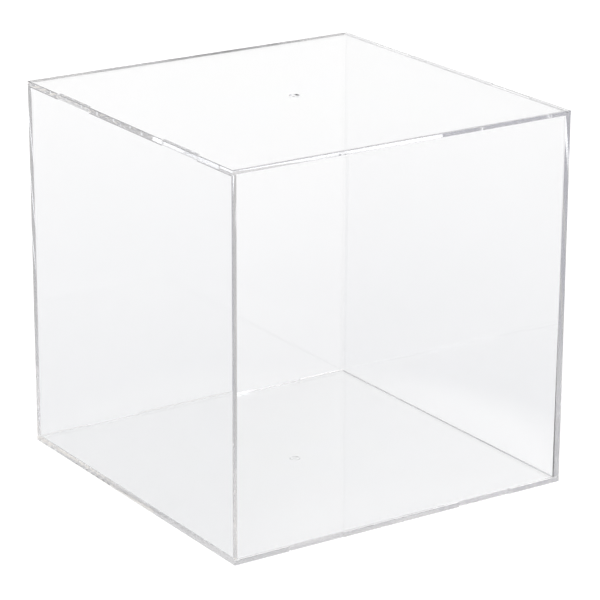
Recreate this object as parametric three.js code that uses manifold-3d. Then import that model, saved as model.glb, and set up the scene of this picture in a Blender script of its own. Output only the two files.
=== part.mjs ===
// Clear display cube for a ball, in two identical U-shaped mouldings.
// Each moulding is a square panel with two opposite walls. The upper one is turned over and set
// across the lower one, so that each closes the other's two open sides.
// Millimetres, +Z up, origin at the centre of the underside.

import * as THREE from 'three';
import { mergeVertices } from 'three/addons/utils/BufferGeometryUtils.js';
import Module from 'manifold-3d';

const wasm = await Module();
wasm.setup();

// Outside size of the closed cube
const cubeSide = 247.65;
const cubeHeight = 247.65;

// Section of one moulding: the walls thin towards their free edges, so that it leaves its mould
const panelThickness = 3.2;
const wallRootThickness = 3.6;
const wallTipThickness = 2.8;
const foldOuterRadius = 0.6;
const foldInnerRadius = 0.8;
const edgeRadius = 0.3;

// Air left where the two mouldings meet
const seatGap = 0.3;
const mitreGap = 0.3;

// Tabs on the free edges of the walls
const tabFromCorner = 40;
const tabLength = 39.5;
const tabThickness = 2;
const tabRecess = 0.2;
const tabEdgeRadius = 0.4;
const tabCornerRadius = 1.2;

// Notches in the free edges of the panels
const notchClearance = 0.3;
const notchCornerRadius = 0.5;

// Sunk mark where the plastic entered the mould, in the middle of each panel's outside face
const gateWellDiameter = 7;
const gateWellDepth = 0.8;
const gateWellDraft = 0.3;
const gateNubDiameter = 2.4;
const gateNubRecess = 0.3;

// How far a cutting or joining shape runs past the face it works on
const overrun = 1;

// Facets
const filletSteps = 4;
const gateSteps = 40;

const halfSide = cubeSide / 2;
const wallTop = cubeHeight - panelThickness - seatGap;
const tabTop = cubeHeight - tabRecess;
const tabCentre = halfSide - tabFromCorner - tabLength / 2;
const bothSides = [-1, 1];

function solidFrom(geometry) {
  const plain = geometry.clone();
  plain.deleteAttribute('normal');
  plain.deleteAttribute('uv');
  const merged = mergeVertices(plain);
  const corners = merged.index.array;
  const triangles = [];
  for (let i = 0; i < corners.length; i += 3) {
    const [a, b, c] = corners.subarray(i, i + 3);
    if (a !== b && b !== c && c !== a) triangles.push(a, b, c);
  }
  return new wasm.Manifold(new wasm.Mesh({
    numProp: 3,
    vertProperties: new Float32Array(merged.attributes.position.array),
    triVerts: new Uint32Array(triangles),
  }));
}

function geometryFrom(solid) {
  const mesh = solid.getMesh();
  const geometry = new THREE.BufferGeometry();
  geometry.setAttribute('position', new THREE.BufferAttribute(mesh.vertProperties, mesh.numProp));
  geometry.setIndex(new THREE.BufferAttribute(mesh.triVerts, 1));
  geometry.computeVertexNormals();
  return geometry;
}

function extrude(outline, depth) {
  return new THREE.ExtrudeGeometry(outline, { depth, bevelEnabled: false, curveSegments: filletSteps });
}

// Extrudes an outline drawn in X and Z along Y, centred on the middle of the cube.
function extrudeAlongY(outline, length) {
  const geometry = extrude(outline, length);
  geometry.rotateX(Math.PI / 2);
  geometry.translate(0, length / 2, 0);
  return geometry;
}

// Extrudes an outline drawn in Y and Z along X, centred on the middle of the cube.
function extrudeAlongX(outline, length) {
  const geometry = extrude(outline, length);
  geometry.translate(0, 0, -length / 2);
  geometry.rotateX(Math.PI / 2);
  geometry.rotateZ(Math.PI / 2);
  return geometry;
}

// Draws up the right side of an outline, over its top and down to its left side, with both
// corners round.
function addRoundTop(outline, right, left, top, radius) {
  outline.lineTo(right, top - radius);
  outline.absarc(right - radius, top - radius, radius, 0, Math.PI / 2, false);
  outline.lineTo(left + radius, top);
  outline.absarc(left + radius, top - radius, radius, Math.PI / 2, Math.PI, false);
}

// Section across the two walls: the panel, the folds with their radii and the tapered walls.
function channelOutline() {
  const innerRoot = halfSide - wallRootThickness;
  const innerTip = halfSide - wallTipThickness;
  const filletTop = panelThickness + foldInnerRadius;
  const foldCentre = halfSide - foldOuterRadius;
  const outline = new THREE.Shape();
  outline.moveTo(-foldCentre, 0);
  outline.lineTo(foldCentre, 0);
  outline.absarc(foldCentre, foldOuterRadius, foldOuterRadius, -Math.PI / 2, 0, false);
  addRoundTop(outline, halfSide, innerTip, wallTop, edgeRadius);
  outline.lineTo(innerRoot, filletTop);
  outline.absarc(innerRoot - foldInnerRadius, filletTop, foldInnerRadius, 0, -Math.PI / 2, true);
  outline.lineTo(-innerRoot + foldInnerRadius, panelThickness);
  outline.absarc(-innerRoot + foldInnerRadius, filletTop, foldInnerRadius, -Math.PI / 2, -Math.PI, true);
  addRoundTop(outline, -innerTip, -halfSide, wallTop, edgeRadius);
  outline.lineTo(-halfSide, foldOuterRadius);
  outline.absarc(-foldCentre, foldOuterRadius, foldOuterRadius, -Math.PI, -Math.PI / 2, false);
  return outline;
}

// Room for the other moulding at one corner: a 45 degree mitre on the end of the wall, then a
// straight run past the fold's fillet where the other wall stands on the panel.
// Depths are measured inwards from the cube's two outside faces at that corner.
function cornerRoom(sideX, sideY) {
  const step = mitreGap / Math.SQRT2;
  const pocket = wallRootThickness + seatGap;
  const pocketEnd = wallRootThickness + foldInnerRadius + overrun;
  const depths = [
    [-overrun, -overrun],
    [-overrun, -overrun + step],
    [pocket - step, pocket],
    [pocketEnd, pocket],
    [pocketEnd, -overrun],
  ];
  const points = depths.map(([inX, inY]) => {
    return new THREE.Vector2(sideX * (halfSide - inX), sideY * (halfSide - inY));
  });
  const room = extrude(new THREE.Shape(points), cubeHeight);
  room.translate(0, 0, panelThickness);
  return solidFrom(room);
}

// A tab stands on the free edge of a wall, flush with its outside face. Its long edges are
// round to lead it in, and so are its two upper corners.
function tabSection(sideX) {
  const faces = [sideX * halfSide, sideX * (halfSide - tabThickness)];
  const right = Math.max(...faces);
  const left = Math.min(...faces);
  const section = new THREE.Shape();
  section.moveTo(left, wallTop - overrun);
  section.lineTo(right, wallTop - overrun);
  addRoundTop(section, right, left, tabTop, tabEdgeRadius);
  return solidFrom(extrudeAlongY(section, cubeSide));
}

function tabFace(centreY) {
  const start = centreY - tabLength / 2;
  const end = centreY + tabLength / 2;
  const face = new THREE.Shape();
  face.moveTo(start, wallTop - overrun);
  face.lineTo(end, wallTop - overrun);
  addRoundTop(face, end, start, tabTop, tabCornerRadius);
  return solidFrom(extrudeAlongX(face, cubeSide + overrun));
}

// A bar along the free rim of the panel at +Y that rounds the rim's lower or upper edge.
function rimBar(height, sideZ, length) {
  const arcY = halfSide - edgeRadius;
  const arcZ = height - sideZ * edgeRadius;
  const outside = height + sideZ * overrun;
  const bar = new THREE.Shape();
  bar.moveTo(arcY, outside);
  bar.lineTo(arcY, height);
  bar.absarc(arcY, arcZ, edgeRadius, (sideZ * Math.PI) / 2, 0, sideZ > 0);
  bar.lineTo(halfSide + overrun, arcZ);
  bar.lineTo(halfSide + overrun, outside);
  return solidFrom(extrudeAlongX(bar, length));
}

// A notch through the free edge of the panel, with round inner corners.
function notch(centreX, sideY) {
  const half = tabLength / 2 + notchClearance;
  const outer = sideY * (halfSide + overrun);
  const depth = tabThickness + notchClearance;
  const inner = sideY * (halfSide - depth);
  const turn = sideY * notchCornerRadius;
  const outline = new THREE.Shape();
  outline.moveTo(centreX - half, outer);
  outline.lineTo(centreX - half, inner + turn);
  outline.quadraticCurveTo(centreX - half, inner, centreX - half + notchCornerRadius, inner);
  outline.lineTo(centreX + half - notchCornerRadius, inner);
  outline.quadraticCurveTo(centreX + half, inner, centreX + half, inner + turn);
  outline.lineTo(centreX + half, outer);
  const cut = extrude(outline, panelThickness + 2 * overrun);
  cut.translate(0, 0, -overrun);
  return solidFrom(cut);
}

// The well of the gate mark, with the trimmed nub left standing in the middle below the face.
function gateWell() {
  const profile = [
    [0, -overrun],
    [gateWellDiameter / 2, -overrun],
    [gateWellDiameter / 2, 0],
    [gateWellDiameter / 2 - gateWellDraft, gateWellDepth],
    [gateNubDiameter / 2, gateWellDepth],
    [gateNubDiameter / 2, gateNubRecess],
    [0, gateNubRecess],
  ];
  const points = profile.map(([radius, height]) => new THREE.Vector2(radius, height));
  const well = new THREE.LatheGeometry(points, gateSteps);
  well.rotateX(Math.PI / 2);
  return solidFrom(well);
}

function addTabs(body) {
  let result = body;
  for (const sideX of bothSides) {
    const section = tabSection(sideX);
    for (const end of bothSides) {
      result = result.add(section.intersect(tabFace(end * tabCentre)));
    }
  }
  return result;
}

function cutForOtherHalf(body) {
  let result = body;
  for (const sideX of bothSides) {
    for (const sideY of bothSides) {
      result = result.subtract(cornerRoom(sideX, sideY));
      result = result.subtract(notch(sideX * tabCentre, sideY));
    }
  }
  return result;
}

// The upper edge of a rim is round only between the corners, where the other half's walls stand.
function roundRims(body) {
  const lowerBar = rimBar(0, -1, cubeSide + overrun);
  const upperBar = rimBar(panelThickness, 1, cubeSide - 2 * (wallRootThickness + seatGap));
  const bars = lowerBar.add(upperBar);
  return body.subtract(bars).subtract(bars.mirror([0, 1, 0]));
}

function channelMoulding() {
  const channel = solidFrom(extrudeAlongY(channelOutline(), cubeSide));
  const fitted = roundRims(cutForOtherHalf(addTabs(channel)));
  return geometryFrom(fitted.subtract(gateWell()));
}

function clearPlastic() {
  return new THREE.MeshStandardMaterial({
    color: 0xf3f6f6,
    roughness: 0.04,
    metalness: 0,
    transparent: true,
    opacity: 0.3,
  });
}

function makeLowerHalf(geometry) {
  const mesh = new THREE.Mesh(geometry, clearPlastic());
  mesh.name = 'lower_half';
  return mesh;
}

// Turned over about the level diagonal through the front and the back corner of the cube.
function makeUpperHalf(geometry) {
  const mesh = new THREE.Mesh(geometry, clearPlastic());
  mesh.name = 'upper_half';
  mesh.quaternion.setFromAxisAngle(new THREE.Vector3(1, 1, 0).normalize(), Math.PI);
  mesh.position.z = cubeHeight;
  return mesh;
}

const moulding = channelMoulding();
const group = new THREE.Group();
group.add(makeLowerHalf(moulding));
group.add(makeUpperHalf(moulding));

export default group;
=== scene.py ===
import math

import bpy
from mathutils import Matrix, Vector


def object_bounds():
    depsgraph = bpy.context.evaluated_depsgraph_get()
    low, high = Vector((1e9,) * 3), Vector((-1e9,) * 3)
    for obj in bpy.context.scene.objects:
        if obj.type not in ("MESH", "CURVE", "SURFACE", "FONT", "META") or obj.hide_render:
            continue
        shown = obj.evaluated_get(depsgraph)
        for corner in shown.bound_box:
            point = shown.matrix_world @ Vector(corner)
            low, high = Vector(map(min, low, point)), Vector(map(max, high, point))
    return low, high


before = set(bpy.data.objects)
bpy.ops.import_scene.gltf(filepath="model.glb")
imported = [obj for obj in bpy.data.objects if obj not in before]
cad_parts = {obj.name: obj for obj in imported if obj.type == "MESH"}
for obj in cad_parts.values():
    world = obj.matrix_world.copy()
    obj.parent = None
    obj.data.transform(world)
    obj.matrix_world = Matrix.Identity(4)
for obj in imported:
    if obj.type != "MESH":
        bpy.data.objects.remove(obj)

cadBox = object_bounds()
caseLow, caseHigh = cadBox
caseMiddle = (caseLow + caseHigh) / 2
scene = bpy.context.scene


# Small helpers for the node trees

# Adds a node: the dictionary links sockets or sets values, the keywords set the node's own settings.
def addNode(tree, kind, inputs=None, **settings):
    node = tree.nodes.new(kind)
    for key, value in settings.items():
        setattr(node, key, value)
    for key, value in (inputs or {}).items():
        if isinstance(value, bpy.types.NodeSocket):
            tree.links.new(value, node.inputs[key])
        else:
            node.inputs[key].default_value = value
    return node


def combine(tree, operation, first, second):
    return addNode(tree, "ShaderNodeMath", {0: first, 1: second}, operation=operation).outputs[0]


def vectorStep(tree, operation, inputs):
    return addNode(tree, "ShaderNodeVectorMath", inputs, operation=operation).outputs


def lengthOf(tree, vector):
    return vectorStep(tree, "LENGTH", {0: vector})["Value"]


# How far a vector reaches along a direction.
def reachAlong(tree, vector, direction):
    return vectorStep(tree, "DOT_PRODUCT", {0: vector, 1: direction})["Value"]


# Spreads a value from one range to another and holds it at the ends.
def spread(tree, value, fromLow, fromHigh, toLow=0.0, toHigh=1.0):
    node = addNode(tree, "ShaderNodeMapRange", {0: value, 1: fromLow, 2: fromHigh, 3: toLow, 4: toHigh})
    return node.outputs[0]


def opaque(tone):
    return (*tone, 1.0)


def grey(value):
    return opaque((value, value, value))


white = grey(1.0)


def ramp(tree, factor, stops):
    node = addNode(tree, "ShaderNodeValToRGB", {"Fac": factor})
    marks = node.color_ramp.elements
    while len(marks) < len(stops):
        marks.new(1.0)
    for mark, (place, tone) in zip(marks, stops):
        mark.position = place
        mark.color = opaque(tone)
    return node.outputs["Color"]


def mixTones(tree, share, first, second):
    return addNode(tree, "ShaderNodeMix", {0: share, 6: first, 7: second}, data_type="RGBA").outputs[2]


def mixShaders(tree, share, first, second):
    inputs = {0: share, 1: first.outputs[0], 2: second.outputs[0]}
    return addNode(tree, "ShaderNodeMixShader", inputs)


def newMaterial(name):
    material = bpy.data.materials.new(name)
    material.use_nodes = True
    material.node_tree.nodes.clear()
    return material, material.node_tree


def linkToScene(name, data):
    thing = bpy.data.objects.new(name, data)
    scene.collection.objects.link(thing)
    return thing


# Camera
photoCamera = {
    "lens": 175.59,              # mm
    "sensorWidth": 36,           # mm
    "place": (-0.98328, -1.49655, 0.71651),
    "azimuth": -33.431,          # degrees, from straight in front of the front-right wall
    "elevation": 18.674,
    "roll": 0.161,
}


# Returns the line of sight.
def makeCamera(spec):
    azimuth = math.radians(spec["azimuth"])
    elevation = math.radians(spec["elevation"])
    level = math.cos(elevation)
    backwards = Vector((math.sin(azimuth) * level, -math.cos(azimuth) * level, math.sin(elevation)))
    camera = linkToScene("photo_camera", bpy.data.cameras.new("photo_camera"))
    camera.data.lens = spec["lens"]
    camera.data.sensor_width = spec["sensorWidth"]
    camera.location = spec["place"]
    camera.rotation_mode = "QUATERNION"
    roll = Matrix.Rotation(math.radians(spec["roll"]), 3, "Z").to_quaternion()
    camera.rotation_quaternion = backwards.to_track_quat("Z", "Y") @ roll
    scene.camera = camera
    return -backwards


# Studio: a room that is white up to its skyline and has its own tones above it
studio = {
    "skyline": 0.16,             # sine of the elevation
    "skylineFade": 0.10,         # how far above it the tones are full
    "room": (                    # tones of the upper room, from behind the camera to straight ahead of it
        (0.00, (0.62, 0.61, 0.60)),
        (0.30, (1.03, 1.00, 0.97)),
        (0.60, (0.98, 0.99, 1.00)),
        (0.80, (1.00, 1.00, 1.00)),
    ),
    "softboxes": {               # places and sizes in m, power in W
        "overhead": {"place": (0.2, 0.4, 3.6), "size": (2.4, 2.4), "power": 22.0},
        "front_left": {"place": (-2.4, -2.6, 3.4), "size": (2.0, 2.0), "power": 60.0},
    },
}


# What shows in the edges: light that has run along inside the plastic comes from this room and from the
# paper, which glows with painted light for it
edgeLight = {
    "meetings": 10,              # light that met the plastic more often than this has run along inside
    "room": (                    # from behind the camera to straight ahead of it
        (0.00, (0.70, 0.70, 0.71)),
        (0.25, (1.25, 1.20, 1.12)),
        (0.42, (1.10, 1.05, 0.99)),
        (0.58, (0.80, 0.79, 0.82)),
        (0.76, (0.85, 0.84, 0.86)),
        (0.92, (1.00, 0.985, 0.975)),
    ),
    "paperGlowLeft": (0.67, 0.665, 0.71),            # painted glow of the paper to the left of the cube's diagonal, dimmer than to its right
    "paperGlowRight": (0.77, 0.76, 0.745),           # and to its right
    "diagonalBlend": (-0.007, 0.007),            # m
    # painted light: far ahead the paper glows brighter than white
    "paperGlowAhead": (1.85, 1.86, 1.88),
    "aheadFrom": (0.55, 0.65),                   # m beyond the cube's middle
    "contactGlow": (0.88, 0.875, 0.87),              # painted glow of the paper close round the cube
    "contactGlowReach": (0.18, 0.23),                # m from the cube's middle
}


# How far a direction lies ahead of the camera: 0 straight behind it, 1 straight ahead.
def shareAhead(tree, way, ahead):
    return spread(tree, reachAlong(tree, way, ahead), -1.0, 1.0)


# 1 for light that has run along inside the plastic, 0 for the rest.
def edgeShare(tree):
    depth = addNode(tree, "ShaderNodeLightPath").outputs["Ray Depth"]
    return combine(tree, "GREATER_THAN", depth, edgeLight["meetings"])


def makeRoom(spec, ahead):
    world = bpy.data.worlds.new("studio_room")
    world.use_nodes = True
    tree = world.node_tree
    tree.nodes.clear()
    way = addNode(tree, "ShaderNodeTexCoord").outputs["Generated"]
    height = addNode(tree, "ShaderNodeSeparateXYZ", {0: way}).outputs["Z"]
    inward = shareAhead(tree, way, ahead)
    upper = spread(tree, height, spec["skyline"], spec["skyline"] + spec["skylineFade"])
    tone = mixTones(tree, upper, white, ramp(tree, inward, spec["room"]))
    tone = mixTones(tree, edgeShare(tree), tone, ramp(tree, inward, edgeLight["room"]))
    light = addNode(tree, "ShaderNodeBackground", {"Color": tone})
    addNode(tree, "ShaderNodeOutputWorld", {"Surface": light.outputs[0]})
    scene.world = world


def makeSoftbox(name, spec):
    lamp = bpy.data.lights.new(name, "AREA")
    lamp.shape = "RECTANGLE"
    lamp.size, lamp.size_y = spec["size"]
    lamp.energy = spec["power"]
    box = linkToScene(name, lamp)
    box.location = spec["place"]
    box.rotation_euler = (caseMiddle - box.location).to_track_quat("-Z", "Y").to_euler()
    box.visible_camera = False


# White paper sweep under the cube
paper = {
    "halfWidth": 40.0,           # m
    "drop": 0.0006,              # m below the cube's underside
    "paintedShadeUnderLeft": (0.78, 0.787, 0.795),           # painted shade under the cube, lighter on the right
    "paintedShadeUnderRight": (0.855, 0.86, 0.865),
    "underTurn": (-0.02, 0.15),  # m to the right of the cube's diagonal
    "underReach": (0.165, 0.20),                 # m from the cube's middle
    # painted shade: the paper darkens towards the cube, as if in its shadow
    "paintedShadeNear": (0.75, 0.757, 0.77),
    "farColour": (0.885, 0.887, 0.888),
    "reach": (0.15, 1.1),        # m from the cube's middle, over which the painted shade near the cube fades to the far colour
    "fibreScale": 900.0,         # per metre
    "fibreSpan": (0.3, 0.7),     # noise values between which the fibres go from dark to light
    "fibreDepth": 0.006,         # how much the dark ones take away
    "lift": 0.15,                # glow towards the camera, so that the open paper shows white
    "fade": (1.3, 3.0),          # m from the cube's middle, over which the sweep rises into the white room
}

# Level, square to the diagonal through the cube's front and back corners
rightOfDiagonal = Vector((1, -1, 0)).normalized()


# Painted light: the tones in which the paper glows for light that has run inside the plastic
def paperGlowInEdges(tree, place, away, ahead):
    side = spread(tree, reachAlong(tree, place, rightOfDiagonal), *edgeLight["diagonalBlend"])
    tone = mixTones(tree, side, opaque(edgeLight["paperGlowLeft"]), opaque(edgeLight["paperGlowRight"]))
    beyond = spread(tree, reachAlong(tree, place, ahead), *edgeLight["aheadFrom"])
    tone = mixTones(tree, beyond, tone, opaque(edgeLight["paperGlowAhead"]))
    clear = spread(tree, away, *edgeLight["contactGlowReach"])
    return mixTones(tree, clear, opaque(edgeLight["contactGlow"]), tone)


def paperFibresAndPaintedShade(tree, spec, place, away):
    # Painted shade under the cube, lighter to the right of its diagonal
    side = spread(tree, reachAlong(tree, place, rightOfDiagonal), *spec["underTurn"])
    under = mixTones(tree, side, opaque(spec["paintedShadeUnderLeft"]), opaque(spec["paintedShadeUnderRight"]))
    # Painted shade that darkens the paper towards the cube
    shadeFadeOut = spread(tree, away, *spec["reach"])
    paintedShadeAround = mixTones(tree, shadeFadeOut, opaque(spec["paintedShadeNear"]), opaque(spec["farColour"]))
    tone = mixTones(tree, spread(tree, away, *spec["underReach"]), under, paintedShadeAround)
    fibres = addNode(tree, "ShaderNodeTexNoise", {"Vector": place, "Scale": spec["fibreScale"]})
    weave = spread(tree, fibres.outputs["Fac"], *spec["fibreSpan"], 1 - spec["fibreDepth"], 1.0)
    return vectorStep(tree, "MULTIPLY", {0: tone, 1: weave})[0]


def whitePaper(spec, ahead):
    material, tree = newMaterial("white_paper")
    place = addNode(tree, "ShaderNodeTexCoord").outputs["Object"]
    away = lengthOf(tree, place)
    sheet = addNode(tree, "ShaderNodeBsdfDiffuse", {"Color": paperFibresAndPaintedShade(tree, spec, place, away)})
    seen = addNode(tree, "ShaderNodeLightPath").outputs["Is Camera Ray"]
    glow = addNode(tree, "ShaderNodeEmission", {"Strength": combine(tree, "MULTIPLY", seen, spec["lift"])})
    lit = addNode(tree, "ShaderNodeAddShader", {0: sheet.outputs[0], 1: glow.outputs[0]})
    room = addNode(tree, "ShaderNodeEmission", {"Color": white})
    sweep = mixShaders(tree, spread(tree, away, *spec["fade"]), lit, room)
    # The paper glows with painted light for light that has run inside the plastic
    paintedEdgeGlow = addNode(tree, "ShaderNodeEmission", {"Color": paperGlowInEdges(tree, place, away, ahead)})
    surface = mixShaders(tree, edgeShare(tree), sweep, paintedEdgeGlow)
    addNode(tree, "ShaderNodeOutputMaterial", {"Surface": surface.outputs[0]})
    return material


def makePaperFloor(spec, ahead):
    half, down = spec["halfWidth"], caseLow.z - spec["drop"]
    mesh = bpy.data.meshes.new("paper_floor")
    corners = [(-half, -half, down), (half, -half, down), (half, half, down), (-half, half, down)]
    mesh.from_pydata(corners, [], [(0, 1, 2, 3)])
    mesh.materials.append(whitePaper(spec, ahead))
    linkToScene("paper_floor", mesh)


# Clear styrene, the plastic of both halves. The scales are per metre.
clearStyrene = {
    "ior": 1.57,
    "depthColour": (0.50, 0.505, 0.53),          # what a long way through the plastic does to the light
    "depthDensity": 2.4,
    "shadowClearness": 0.985,    # share of the lamps' light that each face lets through
    "cloudScale": 7.0,
    "cloudDetail": 3.0,
    "cloudSpan": (0.25, 0.75),   # noise values between which the clouds go from dark to light
    "cloudDepth": 0.010,
    "strainSeed": 5.0,           # added to the half's own
    "strainScale": 24.0,
    "strainHues": (              # noise values, and which way red, green and blue go there
        (0.30, (1, -1, 0)),
        (0.45, (0, 1, -1)),
        (0.60, (-1, 0, 1)),
        (0.75, (1, 0, -1)),
    ),
    "strainDepth": 0.006,        # faint colours frozen in round the gate
    "strainShare": 0.8,          # of the tint, at the gate
    "strainReach": 0.11,         # m from the gate
    "waveScale": 16.0,
    "waveHeight": 0.000018,      # m, how far the walls are from dead flat
    "flowScale": 9.0,
    "flowDetail": 3.0,
    "flowHeight": 0.000012,      # m, streaks that run out from the gate
    "flowReach": 0.06,           # m from the gate
    "hairlineTurn": (0.4, 0.9),  # radians about X and Y; about Z it is the half's seed
    "hairlineScale": 70.0,
    "hairlineStretch": 28.0,
    "hairlineSpan": (0.70, 0.78),                # noise values between which a rub sets in
    "hairlineRoughness": 0.05,   # in the few fine rubs that a new case has
}

# The two halves, each with the gate mark that its streaks start from
clearHalves = {
    # Painted shade: the lower half has a darker tone than the upper, though both are the same plastic
    "lower_half": {"seed": 3.0, "tone": (0.947, 0.949, 0.955), "gate": (0.0, 0.0, caseLow.z)},
    "upper_half": {"seed": 11.0, "tone": (0.976, 0.976, 0.979), "gate": (0.0, 0.0, caseHigh.z)},
}


def noise(tree, vector, seed, scale, detail=2.0):
    inputs = {"Vector": vector, "W": seed, "Scale": scale, "Detail": detail}
    return addNode(tree, "ShaderNodeTexNoise", inputs, noise_dimensions="4D").outputs["Fac"]


# Faint clouds over the whole moulding and, near the gate, colours of frozen-in strain.
def plasticTint(tree, place, fromGate, half):
    tone, cloud, strain = half["tone"], clearStyrene["cloudDepth"], clearStyrene["strainDepth"]
    clouds = noise(tree, place, half["seed"], clearStyrene["cloudScale"], clearStyrene["cloudDetail"])
    low, high = clearStyrene["cloudSpan"]
    body = ramp(tree, clouds, ((low, [c - cloud for c in tone]), (high, [c + cloud / 2 for c in tone])))
    bands = noise(tree, place, half["seed"] + clearStyrene["strainSeed"], clearStyrene["strainScale"])
    hues = ramp(tree, bands, [
        (value, [c + way * strain for c, way in zip(tone, ways)])
        for value, ways in clearStyrene["strainHues"]
    ])
    near = spread(tree, fromGate, 0.0, clearStyrene["strainReach"], clearStyrene["strainShare"], 0.0)
    return mixTones(tree, near, body, hues)


# Long shallow waves from cooling, and streaks that run out from the gate.
def plasticSurface(tree, place, outwards, fromGate, half):
    waves = noise(tree, place, half["seed"], clearStyrene["waveScale"])
    slow = addNode(tree, "ShaderNodeBump", {"Height": waves, "Distance": clearStyrene["waveHeight"]})
    streaks = noise(tree, outwards, half["seed"], clearStyrene["flowScale"], clearStyrene["flowDetail"])
    near = spread(tree, fromGate, 0.0, clearStyrene["flowReach"], 1.0, 0.0)
    fine = addNode(tree, "ShaderNodeBump", {
        "Height": combine(tree, "MULTIPLY", streaks, near),
        "Distance": clearStyrene["flowHeight"],
        "Normal": slow.outputs[0]})
    return fine.outputs[0]


# Polished all over, but for a few fine rubs.
def plasticPolish(tree, place, half):
    drawn = addNode(tree, "ShaderNodeMapping", {
        "Vector": place,
        "Rotation": (*clearStyrene["hairlineTurn"], half["seed"]),
        "Scale": (clearStyrene["hairlineStretch"], 1.0, 1.0)})
    rubs = noise(tree, drawn.outputs[0], half["seed"], clearStyrene["hairlineScale"])
    return spread(tree, rubs, *clearStyrene["hairlineSpan"], 0.0, clearStyrene["hairlineRoughness"])


def clearPlastic(name, half):
    material, tree = newMaterial(name)
    place = addNode(tree, "ShaderNodeTexCoord").outputs["Object"]
    away = vectorStep(tree, "SUBTRACT", {0: place, 1: half["gate"]})[0]
    fromGate = lengthOf(tree, away)
    outwards = vectorStep(tree, "NORMALIZE", {0: away})[0]
    clear = addNode(tree, "ShaderNodeBsdfPrincipled", {
        "Base Color": plasticTint(tree, place, fromGate, half),
        "Roughness": plasticPolish(tree, place, half),
        "Normal": plasticSurface(tree, place, outwards, fromGate, half),
        "IOR": clearStyrene["ior"],
        "Transmission Weight": 1.0})
    bare = addNode(tree, "ShaderNodeBsdfTransparent", {"Color": grey(clearStyrene["shadowClearness"])})
    path = addNode(tree, "ShaderNodeLightPath").outputs
    lampLight = combine(tree, "MAXIMUM", path["Is Shadow Ray"], path["Is Diffuse Ray"])
    surface = mixShaders(tree, lampLight, clear, bare)
    inside = addNode(tree, "ShaderNodeVolumeAbsorption", {
        "Color": opaque(clearStyrene["depthColour"]),
        "Density": clearStyrene["depthDensity"]})
    addNode(tree, "ShaderNodeOutputMaterial", {"Surface": surface.outputs[0], "Volume": inside.outputs[0]})
    return material


# How the mouldings' facets are shaded
mouldedShading = {
    "weld": 0.00001,             # m, joins the facets' corners
    "smooth": 30.0,              # degrees between facets up to which a surface is shaded as one
    "flatWeight": 100,           # keeps the wide faces flat beside the small radii
}


def makeShadingGroup(spec):
    group = bpy.data.node_groups.new("moulded_shading", "GeometryNodeTree")
    for way in ("INPUT", "OUTPUT"):
        group.interface.new_socket("Geometry", in_out=way, socket_type="NodeSocketGeometry")
    mesh = addNode(group, "NodeGroupInput").outputs[0]
    plain = addNode(group, "GeometryNodeRemoveAttribute", {"Geometry": mesh, "Name": "custom_normal"})
    joined = addNode(group, "GeometryNodeMergeByDistance",
                     {"Geometry": plain.outputs[0], "Distance": spec["weld"]})
    angle = addNode(group, "GeometryNodeInputMeshEdgeAngle").outputs["Unsigned Angle"]
    soft = addNode(group, "FunctionNodeCompare", {0: angle, 1: math.radians(spec["smooth"])},
                   operation="LESS_EQUAL")
    edges = addNode(group, "GeometryNodeSetShadeSmooth",
                    {"Geometry": joined.outputs[0], "Shade Smooth": soft.outputs[0]}, domain="EDGE")
    faces = addNode(group, "GeometryNodeSetShadeSmooth",
                    {"Geometry": edges.outputs[0], "Shade Smooth": True})
    addNode(group, "NodeGroupOutput", {0: faces.outputs[0]})
    return group


def dressHalf(name, half, shading):
    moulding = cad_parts[name]
    moulding.data.materials[0] = clearPlastic(f"clear_styrene_{name}", half)
    shade = moulding.modifiers.new("moulded_shading", "NODES")
    shade.node_group = shading
    flat = moulding.modifiers.new("flat_walls", "WEIGHTED_NORMAL")
    flat.mode = "FACE_AREA"
    flat.weight = mouldedShading["flatWeight"]
    flat.keep_sharp = True


viewLine = makeCamera(photoCamera)
print("camera: set to the photo's angle")

ahead = Vector((viewLine.x, viewLine.y, 0)).normalized()
makeRoom(studio, ahead)
for boxName, boxSpec in studio["softboxes"].items():
    makeSoftbox(f"softbox_{boxName}", boxSpec)
makePaperFloor(paper, ahead)
print("studio: room,", len(studio["softboxes"]), "softboxes and paper floor")

shadingGroup = makeShadingGroup(mouldedShading)
for halfName, halfSpec in clearHalves.items():
    dressHalf(halfName, halfSpec, shadingGroup)
    print("half dressed:", halfName)

# Light is caught in the walls for many inner reflections before it leaves at an edge.
innerReflections = 400
scene.cycles.max_bounces = innerReflections
scene.cycles.glossy_bounces = innerReflections
scene.cycles.transmission_bounces = innerReflections
scene.view_settings.view_transform = "Standard"
